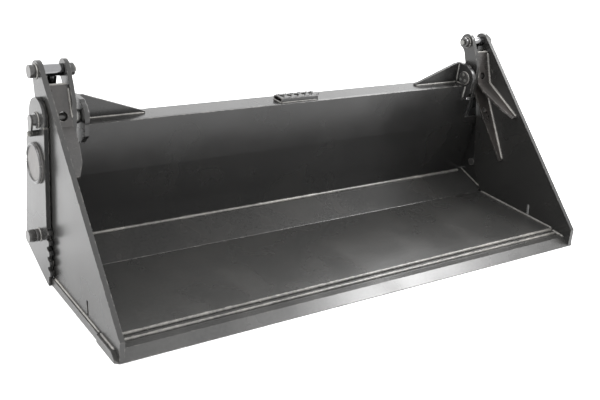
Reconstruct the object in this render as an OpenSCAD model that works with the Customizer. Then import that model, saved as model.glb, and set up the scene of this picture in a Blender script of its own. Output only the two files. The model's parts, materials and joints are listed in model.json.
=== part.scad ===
// Four-in-one loader bucket: a back frame with a hinged clam, two hidden cylinders and a coupler.
// +Z is up, the mouth faces -Y, X runs across the bucket. Origin: ground level, centre of the box.
// Profiles are drawn in a side plane (rearward, up) measured from the nose, then shifted to the origin.

/* [Overall] */
// Distance from the nose to the origin
y_origin = 380; // [340:1:420]
// Roundness of the round parts
$fn = 48; // [24:4:96]

/* [Stations across the width] */
// Inboard face of the back frame's inner ears
ear_in_x = 787; // [740:1:800]
// Thickness of the back frame's inner ears
ear_t = 16; // [10:1:22]
// Inboard face of the clam's inner ears
clam_ear_x = 820; // [806:1:840]
// Thickness of the clam's inner ears
clam_ear_t = 14; // [8:1:20]
// Inner face of the clam's side plates
side_x = 899; // [860:1:920]
// Thickness of the clam's side plates
side_t = 16; // [10:1:20]
// Running gap between side plate and end plate
side_gap = 3; // [2:0.5:6]
// Thickness of the end plates
end_t = 14; // [10:1:20]
// Half width of the moldboard and the rear blade
board_x = 893; // [860:1:897]
// Half width of the front cutting edge
edge_x = 927; // [915:1:940]

/* [Pivots] */
// Main pivot, distance behind the nose
piv_y = 565; // [540:1:580]
// Main pivot height
piv_z = 498; // [480:1:520]
// Rod pin, distance behind the nose
rod_y = 617; // [600:1:630]
// Rod pin height
rod_z = 627; // [615:1:640]
// Cylinder base pin, distance behind the nose
base_y = 682; // [670:1:700]
// Cylinder base pin height
base_z = 150; // [140:1:160]
// Main pivot pin radius
main_r = 16; // [14:0.5:18]
// Rod pin radius
rod_pin_r = 12.5; // [11:0.5:14]
// Base pin radius
base_pin_r = 16; // [14:0.5:18]
// Radial running clearance of the pins
run_c = 0.05; // [0.02:0.01:0.1]
// Radius of the clam's pivot bushes
bush_r = 22; // [20:0.5:24]
// Stop pin radius
stop_r = 15; // [12:0.5:17]
// Stop pin, distance behind the nose
stop_y = 550; // [549:0.5:556]
// Stop pin height
stop_z = 137; // [130:1:145]

/* [Back frame] */
// Top of the beam
beam_z = 472; // [460:1:480]
// Rear face of the beam
beam_rear = 647; // [630:1:660]
// Underside of the beam
beam_low = 400; // [380:1:420]
// Wall of the beam
beam_wall = 6; // [5:1:10]
// Radius of the blank disc on each end plate
disc_r = 62; // [40:1:64]
// Thickness of the blank disc
disc_t = 7; // [5:1:12]
// Disc centre, distance behind the nose
disc_y = 570; // [560:1:580]
// Disc centre height
disc_z = 363; // [340:1:370]
// Number of teeth on the end plate's lower front edge
tooth_count = 5; // [3:1:6]
// Spacing of the teeth
tooth_pitch = 32; // [28:1:34]
// Radius of the teeth
tooth_r = 10; // [8:0.5:12]
// Radius of the hollows between the teeth
hollow_r = 5.5; // [4:0.5:6]
// Thickness of the ribs behind the moldboard
rib_t = 10; // [8:1:14]

/* [Clam] */
// Top of the floor
floor_z = 35; // [32:1:40]
// Floor thickness
floor_t = 10; // [8:1:12]
// Thickness of the front cutting edge
edge_t = 25; // [20:1:30]
// Rear edge of the front cutting edge
edge_rear = 125; // [110:1:150]
// Thickness of the bent plates and legs beside the pivots
brace_t = 8; // [6:1:10]

/* [Cylinders] */
// Cylinder body outer radius
barrel_r = 30; // [28:0.5:30.5]
// Cylinder bore radius
bore_r = 25; // [23:0.5:26]
// Rod radius
rod_r = 16; // [14:0.5:17]
// Clearance round rod and piston that lets the rod stray sideways
stray = 3.4; // [3.3:0.1:4]
// Distance from base pin to the open end of the cylinder body
barrel_len = 340; // [320:1:350]
// Radius of the cross tube at each end of a cylinder's rod
rod_eye_r = 18.5; // [17:0.5:20]

/* [Coupler] */
// Half width of the coupler plate
coupler_x = 572; // [560:1:580]
// Front face of the coupler plate
coupler_y = 700; // [690:1:712]
// Thickness of the coupler plate
coupler_t = 8; // [8:1:12]
// Half distance between the two wedge slots
wedge_x = 470; // [440:1:500]

/* [Output] */
// Which piece to draw

/* [Hidden] */
dark = [0.16, 0.17, 0.19];
steel = [0.62, 0.63, 0.65];
end_x = side_x + side_t + side_gap;
end_out = end_x + end_t;
ear_out = ear_in_x + ear_t;
clam_ear_out = clam_ear_x + clam_ear_t;
bay_mid = (clam_ear_out + side_x) / 2;
cyl_len = sqrt(pow(rod_y - base_y, 2) + pow(rod_z - base_z, 2));
cyl_a = atan2(rod_z - base_z, rod_y - base_y);
// Top face of the rear blade
blade_front = 474;
blade_end = 622;
blade_slope = 0.3155;
function blade_top(y) = 35 + (y - blade_front) * blade_slope;
// Moldboard faces, top to bottom, and the rearward position of its back at a height
board_front = [[552.8, 472], [572, 302], [588.5, 205], [609, blade_top(609)]];
board_rear = [[617.2, blade_top(617.2)], [596.7, 205], [580.1, 302], [560.9, 472]];
function back_y(z) = lookup(z, [for (p = board_rear) [p[1], p[0]]]);
// Rear corners of the blade, from its top face round to its underside
blade_heel = [[blade_end, blade_top(blade_end)], [626.8, 66.5]];
// Lightening holes of the ribs
rib_hole_r = 20;
// The ears' lower end, where the moldboard is cut away above
ear_low = 408;
// The keeper bolt of each main pin sits below the pin
keeper_drop = 40;
keeper_x = end_out + 15;
cap_t = 7;
rod_cap_x = 802;

// Extrude a side-plane profile across X from x0 by t, in the origin's frame
module across(x0, t) {
    translate([x0, -y_origin, 0])
        rotate([90, 0, 90])
            linear_extrude(t)
                children();
}

// A round bar along X at a side-plane point
module bar(y, z, x0, x1, r) {
    translate([x0, y - y_origin, z])
        rotate([0, 90, 0])
            cylinder(h = x1 - x0, r = r);
}

module left_side() {
    mirror([1, 0, 0])
        children();
}

// Local frame of a cylinder: +Z runs from the base pin towards the rod pin
module along_cylinder() {
    translate([bay_mid, base_y - y_origin, base_z])
        rotate([cyl_a - 90, 0, 0])
            children();
}

// ---------- back frame ----------

module moldboard() {
    color(dark)
        difference() {
            across(-board_x, 2 * board_x)
                polygon(concat(board_front, board_rear));
            for (s = [-1, 1]) {
                translate([s * (ear_in_x + 75) - 75, 540 - y_origin, ear_low])
                    cube([150, 60, 100]);
                translate([s * (833 + 50) - 50, 540 - y_origin, 330])
                    cube([100, 60, 100]);
            }
        }
}

module top_beam() {
    color(dark)
        across(-ear_in_x, 2 * ear_in_x)
            difference() {
                polygon([[back_y(beam_z), beam_z], [beam_rear, beam_z],
                         [beam_rear, beam_low], [back_y(beam_low), beam_low]]);
                polygon([[back_y(beam_z) + beam_wall + 2, beam_z - beam_wall],
                         [beam_rear - beam_wall, beam_z - beam_wall],
                         [beam_rear - beam_wall, beam_low + beam_wall],
                         [back_y(beam_low) + beam_wall, beam_low + beam_wall]]);
            }
}

// The blade runs between the end plates; its front corners are cut back round the side plates
module rear_cutting_edge() {
    color(dark)
        difference() {
            across(-end_x, 2 * end_x)
                polygon(concat([[blade_front, blade_top(blade_front)]], blade_heel,
                               [[489, 22.5], [blade_front, 5]]));
            for (s = [-1, 1]) {
                translate([s * (board_x + 20) - 20, 460 - y_origin, 0])
                    cube([40, 26, 60]);
            }
        }
}

function tooth_front(z) = 470 + 0.127 * (z - 38);

module end_outline() {
    difference() {
        union() {
            translate([568, 502])
                circle(r = 61);
            polygon([[471, 0], [470, 38], [488, 180], [504.5, 490], [562, 520],
                     [617.5, 483], [625, 440], [654, 415], [658, 274], [667, 66]]);
            for (i = [0 : tooth_count - 1]) {
                translate([tooth_front(42 + i * tooth_pitch) - 2, 42 + i * tooth_pitch])
                    circle(r = tooth_r);
            }
        }
        for (i = [0 : tooth_count - 2]) {
            translate([tooth_front(58 + i * tooth_pitch) - 0.5, 58 + i * tooth_pitch])
                circle(r = hollow_r);
        }
    }
}

module right_outer_end_plate() {
    color(dark)
        across(end_x, end_t)
            difference() {
                end_outline();
                translate([piv_y, piv_z])
                    circle(r = main_r + 0.02);
                translate([stop_y, stop_z])
                    circle(r = stop_r + 0.02);
            }
}

module left_outer_end_plate() {
    left_side()
        right_outer_end_plate();
}

// The ear round the main pin runs on down behind the moldboard to carry the cylinder's base pin
module right_fixed_inner_ear() {
    color(dark)
        across(ear_in_x, ear_t)
            difference() {
                union() {
                    translate([piv_y, piv_z])
                        circle(r = 46);
                    polygon(concat([[533, 528], [521, 510], [522, 446], [550.5, 418],
                                    [back_y(418) - 8.1, 418], [back_y(ear_low) - 8.1, ear_low],
                                    [back_y(ear_low), ear_low], [580.1, 302], [596.7, 205],
                                    [617.2, blade_top(617.2)]],
                                   blade_heel,
                                   [[660, 90], [700, 128], [707, 165], [680, 250], [beam_rear, 330],
                                    [beam_rear, 478], [622, 550], [562, 550]]));
                    translate([base_y, base_z])
                        circle(r = 30);
                }
                translate([piv_y, piv_z])
                    circle(r = main_r + 0.02);
                translate([base_y, base_z])
                    circle(r = base_pin_r + 0.02);
                translate([630, 260])
                    circle(r = rib_hole_r);
            }
}

module left_fixed_inner_ear() {
    left_side()
        right_fixed_inner_ear();
}

module right_top_gusset() {
    color(dark)
        translate([0, 605 - y_origin + 12, 0])
            rotate([90, 0, 0])
                linear_extrude(12)
                    polygon([[ear_in_x, beam_z], [ear_in_x, 549], [ear_in_x - 14, 549],
                             [568, 478], [568, beam_z]]);
}

module left_top_gusset() {
    left_side()
        right_top_gusset();
}

module right_badge_disc() {
    color(steel)
        bar(disc_y, disc_z, end_out, end_out + disc_t, disc_r);
}

module left_badge_disc() {
    left_side()
        right_badge_disc();
}

// A short serrated channel, open at both ends, with diamond holes and teeth along its top
module grip_step() {
    color(dark)
        union() {
            difference() {
                across(-77, 154)
                    difference() {
                        polygon([[566, beam_z], [566, beam_z + 14], [569, beam_z + 17],
                                 [613, beam_z + 17], [616, beam_z + 14], [616, beam_z]]);
                        polygon([[570, beam_z - 1], [570, beam_z + 13],
                                 [612, beam_z + 13], [612, beam_z - 1]]);
                    }
                for (i = [0 : 4]) {
                    translate([-60 + i * 30, 591 - y_origin, beam_z + 8])
                        rotate([0, 0, 45])
                            cube([17, 17, 30], center = true);
                }
            }
            for (i = [0 : 5]) {
                for (y = [571, 606]) {
                    translate([-73 + i * 29, y - y_origin, beam_z + 16])
                        rotate([90, 0, 90])
                            linear_extrude(4)
                                polygon([[-2, 0], [2, 5], [4, 0]]);
                    translate([-66 + i * 29, y - y_origin, beam_z + 16])
                        rotate([90, 0, 90])
                            linear_extrude(4)
                                polygon([[-1, 0], [1, 5], [5, 0]]);
                }
            }
        }
}

module quick_attach_plate() {
    color(dark)
        difference() {
            translate([-coupler_x, coupler_y - y_origin, 75])
                cube([2 * coupler_x, coupler_t, 353]);
            for (s = [-1, 1]) {
                translate([s * 369, coupler_y - y_origin, 250])
                    rotate([90, 0, 0])
                        linear_extrude(60, center = true)
                            union() {
                                square([230, 220], center = true);
                                square([270, 180], center = true);
                                for (a = [-115, 115]) {
                                    for (b = [-90, 90]) {
                                        translate([a, b])
                                            circle(r = 20);
                                    }
                                }
                            }
            }
        }
}

module quick_attach_hook() {
    color(dark)
        across(-coupler_x, 2 * coupler_x)
            polygon([[coupler_y, 428], [coupler_y, 440], [714, 440], [758, 404],
                     [751.5, 396.5], [713, 428]]);
}

module quick_attach_lower_flange() {
    color(dark)
        difference() {
            across(-coupler_x, 2 * coupler_x)
                polygon([[coupler_y, 75], [713, 75], [765, 53], [761.1, 43.8], [711, 65],
                         [coupler_y, 65]]);
            for (s = [-1, 1]) {
                translate([s * wedge_x, 739 - y_origin, 59])
                    rotate([-23, 0, 0])
                        cube([54, 26, 40], center = true);
            }
        }
}

module rear_ribs() {
    color(dark)
        for (x = [-560, -190, 180, 550]) {
            across(x, rib_t)
                difference() {
                    polygon(concat([[617.2, blade_top(617.2)], [596.7, 205], [580.1, 302],
                                    [back_y(beam_low), beam_low], [beam_rear, beam_low],
                                    [coupler_y, 440], [coupler_y, 65]],
                                   [blade_heel[1], blade_heel[0]]));
                    translate([652, 170])
                        circle(r = 30);
                    translate([642, 300])
                        circle(r = 36);
                }
        }
}

// A boss on the inner ear and a plate on the end plate hold the cylinder's base pin between them
module right_cylinder_base_brackets() {
    color(dark) {
        difference() {
            bar(base_y, base_z, ear_out, 833, 25);
            bar(base_y, base_z, ear_out - 1, 834, base_pin_r + 0.02);
        }
        across(902, end_x - 902)
            difference() {
                union() {
                    polygon([[back_y(100) + 15, 100], [611.7, 205], [640, 215],
                             [698, 170], [706, 140], [690, 108]]);
                    translate([base_y, base_z])
                        circle(r = 25);
                }
                translate([base_y, base_z])
                    circle(r = base_pin_r + 0.02);
            }
    }
}

module left_cylinder_base_brackets() {
    left_side()
        right_cylinder_base_brackets();
}

module right_end_spacer_bar() {
    color(dark)
        across(875, end_x - 875)
            polygon([[back_y(85.2), 85.2], [596.7, 205], [580.1, 302], [back_y(322), 322],
                     [back_y(322) + 15, 322], [595.1, 302], [611.7, 205], [back_y(85.2) + 15, 85.2]]);
}

module left_end_spacer_bar() {
    left_side()
        right_end_spacer_bar();
}

// ---------- pins and small hardware of the back frame ----------

module right_main_pivot_pin() {
    color(steel)
        bar(piv_y, piv_z, ear_in_x, keeper_x, main_r);
}

module left_main_pivot_pin() {
    left_side()
        right_main_pivot_pin();
}

module main_pin_collars() {
    color(steel)
        for (s = [0, 1]) {
            mirror([s, 0, 0])
                difference() {
                    bar(piv_y, piv_z, end_out, end_out + 6, 23);
                    bar(piv_y, piv_z, end_out - 1, end_out + 7, main_r + 0.02);
                }
        }
}

// The plate on the pin's outer end, held off the end plate by a bored boss
module right_pin_keeper() {
    color(dark)
        difference() {
            union() {
                across(keeper_x, 6)
                    union() {
                        translate([piv_y, piv_z])
                            circle(r = 17);
                        translate([piv_y, piv_z - keeper_drop])
                            circle(r = 9);
                        polygon([[piv_y - 16.66, piv_z - 3.4], [piv_y + 16.66, piv_z - 3.4],
                                 [piv_y + 8.82, piv_z - 41.8], [piv_y - 8.82, piv_z - 41.8]]);
                    }
                bar(piv_y, piv_z - keeper_drop, end_out, keeper_x, 9);
            }
            bar(piv_y, piv_z - keeper_drop, end_out - 1, keeper_x + 7, 5);
        }
}

module left_pin_keeper() {
    left_side()
        right_pin_keeper();
}

// Hexagon-headed bolt along X with its head outboard of x
module hex_bolt(y, z, x, af, head, shank_r, shank) {
    translate([x, y - y_origin, z])
        rotate([0, 90, 0])
            cylinder(h = head, r = af / 2 / cos(30), $fn = 6);
    bar(y, z, x - shank, x + 0.5, shank_r);
}

module keeper_bolts() {
    color(steel)
        for (s = [0, 1]) {
            mirror([s, 0, 0])
                hex_bolt(piv_y, piv_z - keeper_drop, keeper_x + 6, 14, 6, 4.95, 20);
        }
}

module main_pin_end_caps() {
    color(dark)
        for (s = [0, 1]) {
            mirror([s, 0, 0])
                bar(piv_y, piv_z, ear_in_x - cap_t, ear_in_x, 24);
        }
}

module main_pin_cap_bolts() {
    color(steel)
        for (s = [0, 1]) {
            mirror([s, 0, 0])
                for (a = [90, 210, 330]) {
                    translate([ear_in_x - cap_t - 5, piv_y - y_origin + 14 * cos(a), piv_z + 14 * sin(a)])
                        rotate([0, 90, 0])
                            cylinder(h = 5, r = 6, $fn = 6);
                }
        }
}

module right_base_pin() {
    color(steel)
        union() {
            bar(base_y, base_z, ear_in_x - 8, end_x - 0.5, base_pin_r);
            bar(base_y, base_z, ear_in_x - 8, ear_in_x, 22);
        }
}

module left_base_pin() {
    left_side()
        right_base_pin();
}

// The clam's side plate closes against this pin
module right_stop_pin() {
    color(steel)
        union() {
            bar(stop_y, stop_z, side_x - 2, end_out + 18, stop_r);
            bar(stop_y, stop_z, end_out + 16, end_out + 36, 19.5);
        }
}

module left_stop_pin() {
    left_side()
        right_stop_pin();
}

module stop_pin_collars() {
    color(steel)
        for (s = [0, 1]) {
            mirror([s, 0, 0])
                difference() {
                    bar(stop_y, stop_z, end_out, end_out + 14, 19.5);
                    bar(stop_y, stop_z, end_out - 1, end_out + 15, stop_r + 0.02);
                }
        }
}

// ---------- clam ----------

module floor_plate() {
    color(dark)
        translate([-side_x, 85 - y_origin, floor_z - floor_t])
            cube([2 * side_x, 386, floor_t]);
}

// Flat bars under the floor, level with the cutting edge
module floor_wear_strips() {
    color(dark)
        for (x = [-495, -45, 405]) {
            across(x, 90)
                polygon([[edge_rear, 0], [edge_rear, floor_z - floor_t], [467, floor_z - floor_t],
                         [467, 12], [455, 0]]);
        }
}

module side_outline() {
    difference() {
        union() {
            translate([rod_y, rod_z])
                circle(r = 32);
            translate([piv_y, piv_z])
                circle(r = 46);
            polygon([[-2, 4.03], [0, 64], [594.6, 650], [617, 640], [646, 618], [611, 500],
                     [567, 312], [545, 190], [533, 130], [476, 36], [476, 12], [467, 12],
                     [467, 25], [29, 25]]);
        }
        translate([piv_y, piv_z])
            circle(r = bush_r + 0.02);
        translate([rod_y, rod_z])
            circle(r = rod_pin_r + 0.02);
        translate([211, 35])
            rotate(-10)
                translate([-5, 0])
                    square([10, 44]);
    }
}

module right_side_plate() {
    color(dark)
        across(side_x, side_t)
            side_outline();
}

module left_side_plate() {
    left_side()
        right_side_plate();
}

module front_cutting_edge() {
    color(dark)
        difference() {
            across(-edge_x, 2 * edge_x)
                polygon([[-5, 2], [29, edge_t], [edge_rear, edge_t], [edge_rear, 0], [10, 0]]);
            for (s = [-1, 1]) {
                translate([s * edge_x, -5 - y_origin, 12])
                    rotate([0, 0, 45])
                        cube([17, 17, 60], center = true);
            }
        }
}

module lip_strip() {
    color(dark)
        translate([-side_x, 65 - y_origin, edge_t])
            cube([2 * side_x, 20, 5]);
}

module right_clam_inner_ear() {
    color(dark)
        across(clam_ear_x, clam_ear_t)
            difference() {
                union() {
                    translate([rod_y, rod_z])
                        circle(r = 33);
                    polygon([[588, 642], [560, 594], [541, 550], [537, 513], [538, 482],
                             [542, 423], [575, 416], [604, 445], [612, 498], [608, 548],
                             [624, 589], [646, 612]]);
                }
                translate([piv_y, piv_z])
                    circle(r = bush_r + 0.02);
                translate([rod_y, rod_z])
                    circle(r = rod_pin_r + 0.02);
            }
}

module left_clam_inner_ear() {
    left_side()
        right_clam_inner_ear();
}

// The bent plate: an upright part in front of the main pin and a leg that tapers to the side plate
module right_bent_cross_plate() {
    color(dark)
        difference() {
            across(clam_ear_out, side_x - clam_ear_out)
                polygon([[571.9, 595], [530, 481], [362, 391.8], [365.75, 384.7],
                         [536.5, 475.4], [579.4, 592.2]]);
            translate([0, -y_origin, 300])
                linear_extrude(190)
                    polygon([[clam_ear_out - 1, 340], [clam_ear_out - 1, 500],
                             [clam_ear_out + 1, 500], [839, 472], [854, 411],
                             [881, 360], [900, 350], [900, 340]]);
            translate([861, 541 - y_origin, 509])
                rotate([70, 0, 0])
                    cylinder(h = 60, r = 14, center = true);
        }
}

module left_bent_cross_plate() {
    left_side()
        right_bent_cross_plate();
}

// A flat leg from the inner ear down and forward to the side plate, tapering towards its foot
module right_rear_leg() {
    color(dark)
        difference() {
            across(clam_ear_out, side_x - clam_ear_out)
                polygon([[550.7, 468], [389.8, 200.8], [389.8 + 0.857 * brace_t, 200.8 - 0.516 * brace_t],
                         [550.7 + 0.857 * brace_t, 468 - 0.516 * brace_t]]);
            rotate([90, 0, 0])
                linear_extrude(600, center = true)
                    polygon([[clam_ear_out - 1, 150], [clam_ear_out - 1, 424],
                             [clam_ear_out + 1, 422], [845, 357], [865, 277],
                             [883, 200], [884, 150]]);
            translate([862, 503 - y_origin, 380])
                rotate([59, 0, 0])
                    cylinder(h = 60, r = 9, center = true);
        }
}

module left_rear_leg() {
    left_side()
        right_rear_leg();
}

module right_skid_runner() {
    color(dark)
        translate([850, edge_rear - y_origin, 0])
            cube([73, 467 - edge_rear, 25]);
}

module left_skid_runner() {
    left_side()
        right_skid_runner();
}

module pivot_bushes() {
    color(steel)
        for (s = [0, 1]) {
            mirror([s, 0, 0]) {
                difference() {
                    bar(piv_y, piv_z, ear_out + 3, clam_ear_out, bush_r);
                    bar(piv_y, piv_z, ear_out, clam_ear_out + 1, main_r + run_c);
                }
                difference() {
                    bar(piv_y, piv_z, side_x, end_x - 1, bush_r);
                    bar(piv_y, piv_z, side_x - 1, end_x, main_r + run_c);
                }
            }
        }
}

module right_rod_pin() {
    color(steel)
        union() {
            bar(rod_y, rod_z, rod_cap_x + 6, side_x + side_t + 10, rod_pin_r);
            bar(rod_y, rod_z, side_x + side_t, side_x + side_t + 21, 20);
        }
}

module left_rod_pin() {
    left_side()
        right_rod_pin();
}

module rod_pin_caps() {
    color(dark)
        for (s = [0, 1]) {
            mirror([s, 0, 0])
                difference() {
                    bar(rod_y, rod_z, rod_cap_x, clam_ear_x, 19.5);
                    bar(rod_y, rod_z, rod_cap_x + 6, clam_ear_x + 1, rod_pin_r + 0.02);
                }
        }
}

module rod_pin_cap_bolts() {
    color(steel)
        for (s = [0, 1]) {
            mirror([s, 0, 0])
                translate([rod_cap_x - 8, rod_y - y_origin, rod_z])
                    rotate([0, 90, 0])
                        cylinder(h = 8, r = 10.4, $fn = 6);
        }
}

// ---------- cylinders ----------

module right_cylinder_barrel() {
    color(dark)
        along_cylinder()
            difference() {
                union() {
                    translate([-31.5, 0, 0])
                        rotate([0, 90, 0])
                            cylinder(h = 63, r = 28);
                    translate([0, 0, 18])
                        cylinder(h = barrel_len - 18, r = barrel_r);
                    for (z = [62, 306]) {
                        translate([0, 0, z])
                            rotate([-90, 0, 0])
                                cylinder(h = barrel_r + 12, r = 12);
                    }
                }
                translate([0, 0, 42])
                    cylinder(h = barrel_len, r = bore_r);
                translate([-40, 0, 0])
                    rotate([0, 90, 0])
                        cylinder(h = 80, r = base_pin_r + run_c);
                for (z = [62, 306]) {
                    translate([0, 20, z])
                        rotate([-90, 0, 0])
                            cylinder(h = 40, r = 7);
                }
            }
}

module left_cylinder_barrel() {
    left_side()
        right_cylinder_barrel();
}

module right_cylinder_gland() {
    color(steel)
        along_cylinder()
            difference() {
                translate([0, 0, barrel_len])
                    cylinder(h = 20, r = barrel_r + 0.5);
                translate([0, 0, barrel_len - 1])
                    cylinder(h = 30, r = rod_r + stray);
            }
}

module left_cylinder_gland() {
    left_side()
        right_cylinder_gland();
}

module right_cylinder_rod() {
    color(steel)
        along_cylinder()
            difference() {
                union() {
                    translate([-30.5, 0, cyl_len])
                        rotate([0, 90, 0])
                            cylinder(h = 61, r = rod_eye_r);
                    translate([0, 0, 275])
                        cylinder(h = cyl_len - 275 - 14, r = rod_r);
                }
                translate([-40, 0, cyl_len])
                    rotate([0, 90, 0])
                        cylinder(h = 80, r = rod_pin_r + run_c);
            }
}

module left_cylinder_rod() {
    left_side()
        right_cylinder_rod();
}

module right_cylinder_piston() {
    color(steel)
        along_cylinder()
            difference() {
                translate([0, 0, 285])
                    cylinder(h = 30, r = bore_r - stray);
                translate([0, 0, 284])
                    cylinder(h = 32, r = rod_r + 0.02);
            }
}

module left_cylinder_piston() {
    left_side()
        right_cylinder_piston();
}

// ---------- output ----------

moldboard();
top_beam();
rear_cutting_edge();
left_outer_end_plate();
right_outer_end_plate();
left_fixed_inner_ear();
right_fixed_inner_ear();
left_top_gusset();
right_top_gusset();
left_badge_disc();
right_badge_disc();
grip_step();
quick_attach_plate();
quick_attach_hook();
quick_attach_lower_flange();
rear_ribs();
left_cylinder_base_brackets();
right_cylinder_base_brackets();
left_end_spacer_bar();
right_end_spacer_bar();
left_main_pivot_pin();
right_main_pivot_pin();
left_pin_keeper();
right_pin_keeper();
keeper_bolts();
main_pin_end_caps();
main_pin_cap_bolts();
main_pin_collars();
left_base_pin();
right_base_pin();
left_stop_pin();
right_stop_pin();
stop_pin_collars();
floor_plate();
floor_wear_strips();
left_side_plate();
right_side_plate();
front_cutting_edge();
lip_strip();
left_clam_inner_ear();
right_clam_inner_ear();
left_bent_cross_plate();
right_bent_cross_plate();
left_rear_leg();
right_rear_leg();
left_skid_runner();
right_skid_runner();
pivot_bushes();
left_rod_pin();
right_rod_pin();
rod_pin_caps();
rod_pin_cap_bolts();
left_cylinder_barrel();
right_cylinder_barrel();
left_cylinder_gland();
right_cylinder_gland();
left_cylinder_rod();
right_cylinder_rod();
left_cylinder_piston();
right_cylinder_piston();
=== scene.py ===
"""Looks for the four-in-one loader bucket: paint, steel, weld beads, light and camera."""
import itertools
import json
import math
import random

import bmesh
import bpy
from mathutils import Matrix, Vector


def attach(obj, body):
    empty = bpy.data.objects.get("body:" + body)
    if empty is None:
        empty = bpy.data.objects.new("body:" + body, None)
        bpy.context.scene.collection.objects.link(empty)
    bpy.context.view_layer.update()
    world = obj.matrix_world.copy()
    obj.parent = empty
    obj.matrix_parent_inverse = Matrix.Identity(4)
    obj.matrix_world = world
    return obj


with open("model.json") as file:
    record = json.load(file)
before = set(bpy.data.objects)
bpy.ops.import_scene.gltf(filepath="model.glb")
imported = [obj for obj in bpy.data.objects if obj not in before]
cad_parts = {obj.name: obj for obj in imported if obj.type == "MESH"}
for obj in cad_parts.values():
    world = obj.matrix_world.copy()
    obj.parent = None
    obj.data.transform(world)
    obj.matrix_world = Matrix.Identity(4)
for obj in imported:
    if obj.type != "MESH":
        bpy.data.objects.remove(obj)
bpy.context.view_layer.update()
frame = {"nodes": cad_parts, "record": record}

NODES = frame["nodes"]
RECORD = frame["record"]
MM = 0.001
NOSE_TO_ORIGIN = 380  # weld paths are measured rearward from the nose, in mm

# Stations across the width and centres in the side plane (rearward, up), in mm
EAR_IN = 787
SIDE_IN = 899
SIDE_OUT = 915
END_IN = 918
END_OUT = 932
MAIN_PIN = (565, 498)
ROD_PIN = (617, 627)
BASE_PIN = (682, 150)
STOP_PIN = (550, 137)
DISC = (570, 363)
BEAM_TOP = 473
RIB_SIDES = (-560, -190, 190, 560)

# ---------------------------------------------------------------- camera

CAMERA_PLACE = Vector((-1.7888, -2.2489, 1.3863))
CAMERA_AZIMUTH = math.radians(-37.04)
CAMERA_ELEVATION = math.radians(23.03)
CAMERA_ROLL = math.radians(6.43)
CAMERA_LENS = 54.28


def make_camera():
    a, e, r = CAMERA_AZIMUTH, CAMERA_ELEVATION, CAMERA_ROLL
    back = Vector((math.sin(a) * math.cos(e), -math.cos(a) * math.cos(e), math.sin(e)))
    level_right = Vector((math.cos(a), math.sin(a), 0))
    level_up = back.cross(level_right)
    right = level_right * math.cos(r) + level_up * math.sin(r)
    up = back.cross(right)
    data = bpy.data.cameras.new("camera")
    data.lens = CAMERA_LENS
    data.sensor_width = 36
    data.clip_start = 0.05
    data.clip_end = 60
    cam = bpy.data.objects.new("camera", data)
    bpy.context.scene.collection.objects.link(cam)
    turn = Matrix((right, up, back)).transposed()
    cam.matrix_world = Matrix.Translation(CAMERA_PLACE) @ turn.to_4x4()
    bpy.context.scene.camera = cam


# ---------------------------------------------------------------- light and floor

FLOOR_HALF = 14.0
FLOOR_DROP = 0.0005
FLOOR_GREY = 0.9
SKY_STRENGTH = 2.0


def area_light(name, place, target, size, power, size_y=None):
    data = bpy.data.lights.new(name, "AREA")
    data.energy = power
    data.size = size
    if size_y:
        data.shape = "RECTANGLE"
        data.size_y = size_y
    obj = bpy.data.objects.new(name, data)
    obj.location = place
    obj.rotation_mode = "QUATERNION"
    obj.rotation_quaternion = (Vector(place) - Vector(target)).to_track_quat("Z", "Y")
    bpy.context.scene.collection.objects.link(obj)
    return obj


def make_studio():
    world = bpy.data.worlds.new("studio")
    world.use_nodes = True
    background = world.node_tree.nodes["Background"]
    background.inputs["Color"].default_value = (1.0, 1.0, 1.0, 1)
    background.inputs["Strength"].default_value = SKY_STRENGTH
    bpy.context.scene.world = world
    bpy.context.scene.view_settings.view_transform = "Standard"

    mesh = bpy.data.meshes.new("studio_floor")
    half = FLOOR_HALF
    corners = [(-half, -half, 0), (half, -half, 0), (half, half, 0), (-half, half, 0)]
    mesh.from_pydata(corners, [], [(0, 1, 2, 3)])
    floor = bpy.data.objects.new("studio_floor", mesh)
    floor.location.z = -FLOOR_DROP
    bpy.context.scene.collection.objects.link(floor)
    mat = bpy.data.materials.new("studio_floor")
    mat.use_nodes = True
    shader = mat.node_tree.nodes["Principled BSDF"]
    shader.inputs["Base Color"].default_value = (FLOOR_GREY, FLOOR_GREY, FLOOR_GREY, 1)
    shader.inputs["Roughness"].default_value = 0.9
    mesh.materials.append(mat)

    area_light("over_blade", (2.16, 1.37, 2.55), (0.15, 0.17, 0.05), 1.2, 62, 1.2)
    area_light("over_lip", (2.15, -0.95, 2.5), (0.2, -0.37, 0.0), 1.3, 70, 0.9)
    area_light("over_left", (-3.2, 0.2, 2.0), (-0.9, 0, 0.3), 2.0, 90, 2.0)


# ---------------------------------------------------------------- materials


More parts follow.
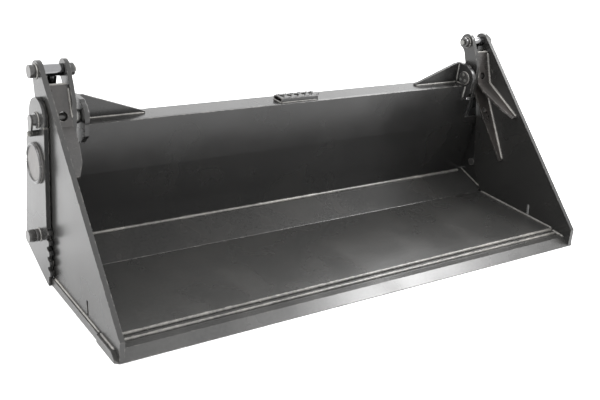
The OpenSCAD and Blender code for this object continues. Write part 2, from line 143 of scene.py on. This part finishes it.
class Graph:
    """Small helper for building shader graphs."""

    def __init__(self, name):
        self.mat = bpy.data.materials.new(name)
        self.mat.use_nodes = True
        self.tree = self.mat.node_tree
        self.shader = self.tree.nodes["Principled BSDF"]
        self.coord = self.tree.nodes.new("ShaderNodeTexCoord").outputs["Object"]

    def add(self, kind, **sockets):
        node = self.tree.nodes.new(kind)
        for key, value in sockets.items():
            self.put(node.inputs[key.replace("_", " ")], value)
        return node

    def put(self, socket, value):
        if isinstance(value, bpy.types.NodeSocket):
            self.tree.links.new(value, socket)
        else:
            socket.default_value = value

    def noise(self, scale, detail=4.0, rough=0.55, stretch=None):
        vector = self.coord
        if stretch:
            mapping = self.add("ShaderNodeMapping", Scale=stretch)
            self.tree.links.new(self.coord, mapping.inputs["Vector"])
            vector = mapping.outputs["Vector"]
        node = self.add("ShaderNodeTexNoise", Scale=scale, Detail=detail, Roughness=rough)
        self.tree.links.new(vector, node.inputs["Vector"])
        return node.outputs["Fac"]

    def ramp(self, value, low, high, out_low=0.0, out_high=1.0):
        node = self.add("ShaderNodeMapRange", Value=value)
        node.inputs["From Min"].default_value = low
        node.inputs["From Max"].default_value = high
        node.inputs["To Min"].default_value = out_low
        node.inputs["To Max"].default_value = out_high
        return node.outputs["Result"]

    def math(self, how, a, b):
        node = self.tree.nodes.new("ShaderNodeMath")
        node.operation = how
        node.use_clamp = True
        self.put(node.inputs[0], a)
        self.put(node.inputs[1], b)
        return node.outputs[0]

    def mix(self, factor, a, b):
        node = self.tree.nodes.new("ShaderNodeMix")
        node.data_type = "RGBA"
        self.put(node.inputs[0], factor)
        for socket, colour in ((node.inputs[6], a), (node.inputs[7], b)):
            self.put(socket, colour if isinstance(colour, bpy.types.NodeSocket) else (*colour, 1))
        return node.outputs[2]

    def blend(self, factor, a, b):
        node = self.tree.nodes.new("ShaderNodeMix")
        node.data_type = "FLOAT"
        self.put(node.inputs[0], factor)
        self.put(node.inputs[2], a)
        self.put(node.inputs[3], b)
        return node.outputs[0]

    def edges(self, radius=0.004):
        """1 near outer edges, 0 on flats, from the difference of a rounded normal and the true one."""
        bevel = self.add("ShaderNodeBevel", Radius=radius)
        geometry = self.tree.nodes.new("ShaderNodeNewGeometry")
        dot = self.tree.nodes.new("ShaderNodeVectorMath")
        dot.operation = "DOT_PRODUCT"
        self.tree.links.new(bevel.outputs["Normal"], dot.inputs[0])
        self.tree.links.new(geometry.outputs["Normal"], dot.inputs[1])
        return self.ramp(dot.outputs["Value"], 0.995, 0.93)

    def bump(self, height, strength, distance=0.001):
        node = self.add("ShaderNodeBump", Height=height, Strength=strength, Distance=distance)
        self.tree.links.new(node.outputs["Normal"], self.shader.inputs["Normal"])


BARE_EDGE = (0.2, 0.19, 0.175)


def paint_material(name, base, dust_and_glint, rough=0.3, dust_and_glint_amount=0.5, wear=0.6, mottle_and_glint=0.3):
    """Satin paint over plate: orange peel, faint dust, scuffs and worn edges. Where the dust and
    mottle colours are set light, as on the weld beads, they paint a glint: light speckles that are a
    painted highlight, not dust.
    """
    g = Graph(name)
    patches = g.noise(5.0, 3.0, 0.5)
    fine = g.noise(90.0, 3.0, 0.6)
    scuffs = g.noise(16.0, 3.0, 0.5, (1.0, 0.35, 0.35))
    # Dust patches. With a light dust colour, as on the weld beads, the same patches are a painted
    # highlight (glint).
    dust_and_glint_mask = g.math("MULTIPLY", g.ramp(patches, 0.4, 0.85), g.ramp(scuffs, 0.3, 0.85))
    # Random tone from fine noise. A strong mottle lightens speckles, which is a painted highlight on
    # the weld beads.
    tint = g.mix(g.ramp(fine, 0.35, 0.65, 0.0, mottle_and_glint), base, tuple(c * 1.9 for c in base))
    tint = g.mix(g.math("MULTIPLY", dust_and_glint_mask, dust_and_glint_amount), tint, dust_and_glint)
    chips = g.math("MULTIPLY", g.edges(), g.ramp(g.noise(60.0, 4.0, 0.7), 0.5, 0.62))
    chips = g.math("MULTIPLY", chips, wear)
    tint = g.mix(chips, tint, BARE_EDGE)
    g.put(g.shader.inputs["Base Color"], tint)
    roughness = g.blend(g.ramp(patches, 0.3, 0.75), rough - 0.03, rough + 0.05)
    g.put(g.shader.inputs["Roughness"], g.math("ADD", roughness, g.math("MULTIPLY", dust_and_glint_mask, 0.1)))
    fine_peel = g.math("MULTIPLY", g.noise(420.0, 2.0), 0.5)
    coarse_peel = g.math("MULTIPLY", g.noise(38.0, 2.0), 0.5)
    peel = g.math("ADD", fine_peel, coarse_peel)
    g.bump(peel, 0.18, 0.0007)
    return g.mat


def metal_material(name, base, rough, grain=0.12, stretch=(1.0, 60.0, 60.0),
                   stain=(0.2, 0.16, 0.12), dirt=0.3):
    """Turned or ground steel: grain along one way, darker stains in patches."""
    g = Graph(name)
    lines = g.noise(18.0, 3.0, 0.6, stretch)
    spots = g.noise(24.0, 5.0, 0.65)
    grime = g.math("MULTIPLY", g.ramp(spots, 0.5, 0.72), dirt)
    tint = g.mix(g.ramp(lines, 0.3, 0.7), tuple(c * 0.8 for c in base), base)
    g.put(g.shader.inputs["Base Color"], g.mix(grime, tint, stain))
    g.put(g.shader.inputs["Metallic"], 1.0)
    polish = g.ramp(lines, 0.3, 0.7, rough, rough + 0.08)
    g.put(g.shader.inputs["Roughness"], g.math("ADD", polish, grime))
    g.bump(lines, grain, 0.0004)
    return g.mat


PAINT = {
    "frame_paint": dict(
        base=(0.0085, 0.0084, 0.0082),
        dust_and_glint=(0.045, 0.041, 0.036), rough=0.24, dust_and_glint_amount=0.15),
    "clam_paint": dict(
        base=(0.01, 0.0099, 0.0095),
        dust_and_glint=(0.05, 0.045, 0.039), rough=0.24, dust_and_glint_amount=0.2),
    "edge_paint": dict(
        base=(0.02, 0.0198, 0.0192),
        dust_and_glint=(0.06, 0.054, 0.046), rough=0.24, dust_and_glint_amount=0.3),
    "coupler_paint": dict(
        base=(0.01, 0.0099, 0.0096),
        dust_and_glint=(0.05, 0.045, 0.039), rough=0.27, dust_and_glint_amount=0.4),
    "pin_paint": dict(
        base=(0.022, 0.0215, 0.021),
        dust_and_glint=(0.11, 0.095, 0.08), rough=0.2, dust_and_glint_amount=0.3),
    "cylinder_paint": dict(
        base=(0.015, 0.015, 0.015),
        dust_and_glint=(0.09, 0.08, 0.07), rough=0.22, dust_and_glint_amount=0.25),
    "gland_black": dict(
        base=(0.015, 0.015, 0.015),
        dust_and_glint=(0.09, 0.08, 0.07), rough=0.22, dust_and_glint_amount=0.2),
}


def make_materials():
    mats = {name: paint_material(name, **settings) for name, settings in PAINT.items()}
    mats["floor_paint"] = paint_material(
        "floor_paint", (0.022, 0.0218, 0.021), (0.06, 0.055, 0.048), 0.27, 0.2)
    mats["disc_face"] = paint_material(
        "disc_face", (0.075, 0.072, 0.07), (0.15, 0.14, 0.13), 0.5, 0.5, 0.3)
    mats["leg_paint"] = paint_material(
        "leg_paint", (0.012, 0.0112, 0.0106), (0.075, 0.06, 0.053), 0.25, 0.6, 0.7, 0.6)
    # Weld bead paint: a light base, a light dust colour at full amount and strong mottle paint a glint
    # onto the beads. This is a painted highlight standing in for the light caught by their ripples.
    mats["weld_paint_glint"] = paint_material(
        "weld_paint_glint", (0.07, 0.068, 0.064), (0.4, 0.38, 0.35), 0.16, 1.0, 1.0, 1.2)
    mats["zinc_hardware"] = metal_material("zinc_hardware", (0.2, 0.2, 0.19), 0.3)
    mats["bush_steel"] = metal_material("bush_steel", (0.36, 0.36, 0.35), 0.3)
    mats["rod_chrome"] = metal_material(
        "rod_chrome", (0.2, 0.2, 0.205), 0.12, 0.03, (60.0, 60.0, 1.0), (0.3, 0.28, 0.25), 0.12)
    mats["piston_iron"] = metal_material("piston_iron", (0.26, 0.26, 0.26), 0.35)
    return mats


def paint_nodes(mats):
    slots = {part["node"]: part["material_slot"] for part in RECORD["subparts"]}
    for name, obj in NODES.items():
        key = slots[name]
        if "cross_plate" in name or "rear_leg" in name:
            key = "leg_paint"
        elif "badge_disc" in name:
            key = "disc_face"
        elif name == "floor_plate":
            key = "floor_paint"
        if not obj.material_slots:
            obj.data.materials.append(mats[key])
        for s in obj.material_slots:
            s.material = mats[key]


# ---------------------------------------------------------------- edges

EDGE_ROUND = 0.0012
SAME_POINT = 0.00002


def round_edges():
    for name, obj in NODES.items():
        weld = obj.modifiers.new("weld", "WELD")
        weld.merge_threshold = SAME_POINT
        bevel = obj.modifiers.new("bevel", "BEVEL")
        bevel.width = EDGE_ROUND
        bevel.segments = 2
        bevel.limit_method = "ANGLE"
        bevel.angle_limit = math.radians(35)


# ---------------------------------------------------------------- weld beads

WELD_PITCH = 0.006
BEAD_SIDES = 8


def bead(name, path, radius, body, mat, seed, wobble=0.22, spatter=0, ripple=0.2):
    """A rippled weld bead along a path of (x, rearward from the nose, up) in mm."""
    rng = random.Random(seed)
    points = [Vector((x * MM, (y - NOSE_TO_ORIGIN) * MM, z * MM)) for x, y, z in path]
    stations = []
    for a, b in zip(points, points[1:]):
        count = max(2, int((b - a).length / (WELD_PITCH * 0.5)))
        for i in range(count):
            stations.append((a.lerp(b, i / count), (b - a).normalized()))
    stations.append((points[-1], (points[-1] - points[-2]).normalized()))
    bm = bmesh.new()
    rings = []
    drift = 0.0
    for i, (centre, along) in enumerate(stations):
        drift = 0.8 * drift + rng.uniform(-1, 1) * 0.2
        step = ripple * (1 if i % 2 else -1)
        end = min(1.0, 0.45 + 0.25 * min(i, len(stations) - 1 - i))
        r = radius * MM * (1 + step + wobble * drift) * end
        side = along.cross(Vector((0, 0, 1)))
        if side.length < 0.1:
            side = along.cross(Vector((0, 1, 0)))
        side.normalize()
        top = side.cross(along).normalized()
        rings.append([bm.verts.new(centre + side * (r * math.cos(t)) + top * (r * math.sin(t)))
                      for t in (2 * math.pi * k / BEAD_SIDES for k in range(BEAD_SIDES))])
    for first, second in zip(rings, rings[1:]):
        for k in range(BEAD_SIDES):
            following = (k + 1) % BEAD_SIDES
            bm.faces.new((first[k], first[following], second[following], second[k]))
    bm.faces.new(rings[0][::-1])
    bm.faces.new(rings[-1])
    for _ in range(spatter):
        centre, along = stations[rng.randrange(len(stations))]
        reach = radius * MM
        throw = Vector((rng.uniform(-1, 1), rng.uniform(-1, 1), rng.uniform(-0.6, 0.6)))
        spot = centre + throw * reach * 1.5
        made = bmesh.ops.create_icosphere(bm, subdivisions=1, radius=reach * rng.uniform(0.2, 0.4))
        bmesh.ops.translate(bm, verts=made["verts"], vec=spot)
    bmesh.ops.recalc_face_normals(bm, faces=bm.faces)
    mesh = bpy.data.meshes.new(name)
    bm.to_mesh(mesh)
    bm.free()
    for face in mesh.polygons:
        face.use_smooth = True
    mesh.materials.append(mat)
    obj = bpy.data.objects.new(name, mesh)
    bpy.context.scene.collection.objects.link(obj)
    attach(obj, body)


def ring_path(x, centre, r, steps=28):
    """A full circle about a side-plane centre, at one station across the width."""
    turns = [math.radians(360 * i / steps) for i in range(steps + 1)]
    return [(x, centre[0] + r * math.cos(t), centre[1] + r * math.sin(t)) for t in turns]


def seam(x, *corners):
    """A path through side-plane corners, at one station across the width."""
    return [(x, y, z) for y, z in corners]


def wide(half, y, z):
    """A straight path across the width."""
    return [(-half, y, z), (half, y, z)]


class Welder:
    """Lays numbered beads that ride one body; the numbers seed each bead's own ripples."""

    def __init__(self, mat, seeds):
        self.mat = mat
        self.seeds = seeds

    def lay(self, name, path, radius, body, mat=None, **how):
        bead(f"weld_{name}", path, radius, body, mat or self.mat, next(self.seeds), **how)

    def lay_both(self, name, path, radius, body, **how):
        for side, sign in (("left", -1), ("right", 1)):
            mirrored = [(sign * x, y, z) for x, y, z in path]
            self.lay(f"{side}_{name}", mirrored, radius, body, **how)


def weld_lip_and_floor(w):
    w.lay("lip_rear", wide(894, 84, 33), 4.8, "clam", wobble=0.45, spatter=90, ripple=0.3)
    w.lay("lip_front", wide(894, 64, 27), 4.2, "clam", wobble=0.45, spatter=60, ripple=0.3)
    inside = SIDE_IN - 1.5
    outside = SIDE_OUT + 0.5
    w.lay_both("floor_side", seam(inside, (88, 36.5), (466, 36.5)), 3.8, "clam",
               wobble=0.3, spatter=12)
    w.lay_both("nose_top", seam(inside, (30, 27), (84, 29)), 4.6, "clam", wobble=0.5, spatter=12)
    w.lay_both("nose_outside", seam(outside, (32, 26.5), (122, 26.5)), 4.0, "clam",
               wobble=0.4, spatter=8)
    w.lay_both("runner_side", seam(SIDE_OUT + 1, (128, 26.5), (462, 26.5)), 3.4, "clam")


def weld_clam_braces(w):
    inside = SIDE_IN - 1.5
    w.lay_both("cross_plate_side", seam(inside, (570.5, 592), (528.5, 481), (366, 394)), 5.0,
               "clam", wobble=0.5, spatter=30, ripple=0.35)
    w.lay_both("cross_plate_ear", seam(835, (568, 586), (537.5, 503)), 3.8, "clam",
               wobble=0.4, spatter=8)
    w.lay_both("cross_plate_top", [(836, 573, 597), (897, 573, 597)], 3.4, "clam")
    w.lay_both("rear_leg_side", seam(inside, (546, 463), (392, 207)), 4.4, "clam",
               wobble=0.45, spatter=16, ripple=0.3)
    w.lay_both("rod_pin_cap", ring_path(819.2, ROD_PIN, 20.5), 2.4, "clam")
    w.lay_both("rod_pin_head", ring_path(SIDE_OUT + 0.6, ROD_PIN, 21), 2.4, "clam")
    w.lay_both("bush_ring", ring_path(819.4, MAIN_PIN, 23), 2.2, "clam")


def weld_board_and_ears(w):
    w.lay("blade_front", wide(890, 607, 79), 5.2, "frame", wobble=0.45, spatter=120, ripple=0.3)
    w.lay("blade_back", wide(870, 618.2, 81.5), 3.6, "frame")
    w.lay("beam_back", wide(784, 570, 399.5), 3.0, "frame")
    beside_ear = EAR_IN - 0.6
    gusset_front = 604.5
    w.lay_both("ear_front", seam(beside_ear, (552.2, 468), (557.0, 420)), 4.0, "frame",
               wobble=0.35, spatter=10)
    w.lay_both("ear_beam", seam(beside_ear, (566, BEAM_TOP), (603, BEAM_TOP)), 3.2, "frame")
    w.lay_both("gusset_base", [(572, gusset_front, BEAM_TOP), (EAR_IN - 3, gusset_front, BEAM_TOP)],
               3.4, "frame")
    w.lay_both("gusset_ear", seam(beside_ear, (gusset_front, 476), (gusset_front, 546)), 3.2, "frame")
    w.lay_both("ear_back", seam(beside_ear, (597.5, 205), (581, 302), (571, 392)), 3.2, "frame")
    w.lay_both("spacer_side", seam(874.5, (597.5, 205), (581, 302)), 3.0, "frame")
    w.lay_both("spacer_end", seam(END_IN - 0.5, (611.5, 208), (596, 298)), 3.0, "frame")
    w.lay_both("blade_end_plate", seam(END_IN - 0.6, (500, 44), (618, 81.4)), 3.2, "frame")


def weld_pins_and_disc(w, rim_mat):
    outside = END_OUT + 0.4
    w.lay_both("pin_collar", ring_path(outside, MAIN_PIN, 23.4), 2.0, "frame")
    w.lay_both("disc_rim", ring_path(END_OUT + 5.5, DISC, 57, steps=40), 5.5, "frame",
               wobble=0.0, ripple=0.0, mat=rim_mat)
    w.lay_both("stop_collar", ring_path(outside, STOP_PIN, 20), 2.2, "frame")
    w.lay_both("pin_end_cap", ring_path(EAR_IN - 0.4, MAIN_PIN, 24.2), 2.2, "frame")
    w.lay_both("base_boss", ring_path(803.6, BASE_PIN, 25.5), 2.4, "frame")


def weld_back_and_step(w):
    for i, x in enumerate(RIB_SIDES):
        beside = x + math.copysign(0.5, x)
        w.lay(f"rib_{i}_board", seam(beside, (597.5, 205), (581, 302), (571, 396)), 3.0, "frame")
        w.lay(f"rib_{i}_coupler", seam(beside, (699.4, 90), (699.4, 420)), 3.0, "frame")
    w.lay("hook", wide(568, 708.6, 427.5), 3.0, "frame")
    w.lay("flange", wide(568, 709, 76), 3.0, "frame")
    for side, x in (("left", -77.4), ("right", 77.4)):
        w.lay(f"step_{side}", seam(x, (566, BEAM_TOP), (616, BEAM_TOP)), 2.2, "frame")
    w.lay("step_front", wide(74, 565.6, BEAM_TOP), 2.4, "frame")


def make_welds(weld_mat, rim_mat):
    welder = Welder(weld_mat, itertools.count(1))
    weld_lip_and_floor(welder)
    weld_clam_braces(welder)
    weld_board_and_ears(welder)
    weld_pins_and_disc(welder, rim_mat)
    weld_back_and_step(welder)


make_camera()
make_studio()
materials = make_materials()
paint_nodes(materials)
round_edges()
make_welds(materials["weld_paint_glint"], materials["gland_black"])
